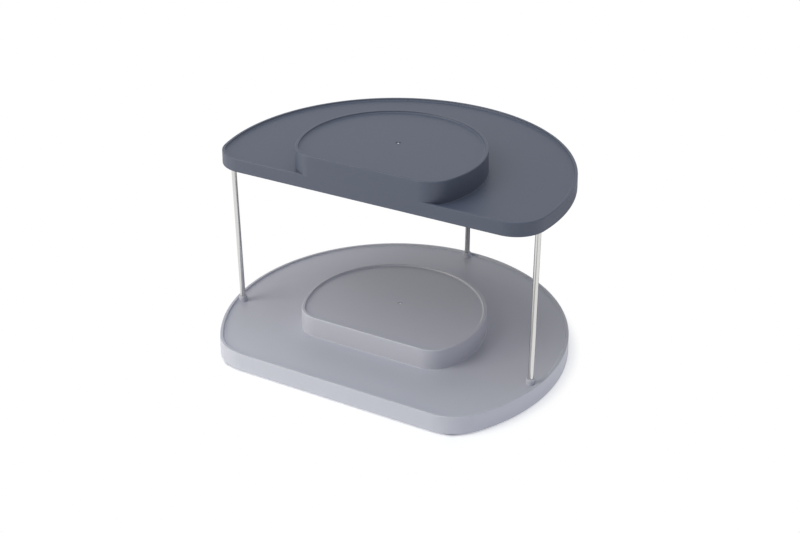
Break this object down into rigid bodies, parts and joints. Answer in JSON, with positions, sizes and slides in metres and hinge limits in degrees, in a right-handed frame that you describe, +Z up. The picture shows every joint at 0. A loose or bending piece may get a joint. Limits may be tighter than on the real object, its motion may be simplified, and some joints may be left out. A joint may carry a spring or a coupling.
{
  "type": "tiered countertop organizer",
  "caption": "Tiered D-shaped countertop organizer: a dark upper tray held on slim steel rods over a light lower tray, each with a raised middle deck and a low lip.",
  "frame": {"origin": "on the standing plane, under the middle of the lower tray's width and depth", "axes": "+Z up, front of the organizer towards -Y, +X to the right as seen from the front"},
  "size_m": [0.3408, 0.289, 0.2096],
  "materials": {
    "dark_plastic": "fine matt texture, slate grey-blue",
    "light_plastic": "fine matt texture, light grey",
    "rod_steel": "drawn stainless steel, lightly polished",
    "foot_rubber": "soft dark elastomer"
  },
  "bodies": {
    "base": {"lower_tray": "light_plastic", "post_left": "rod_steel", "post_right": "rod_steel", "post_rear": "rod_steel", "foot_front_left": "foot_rubber", "foot_front_right": "foot_rubber", "foot_side_left": "foot_rubber", "foot_side_right": "foot_rubber", "foot_rear_left": "foot_rubber", "foot_rear_right": "foot_rubber"},
    "upper_tier": {"upper_tray": "dark_plastic"}
  },
  "joints": [
    {"name": "upper_tier_lift", "type": "slide", "parent": "base", "child": "upper_tier", "axis": [0, 0, 1], "range_m": [0, 0.008]}
  ]
}
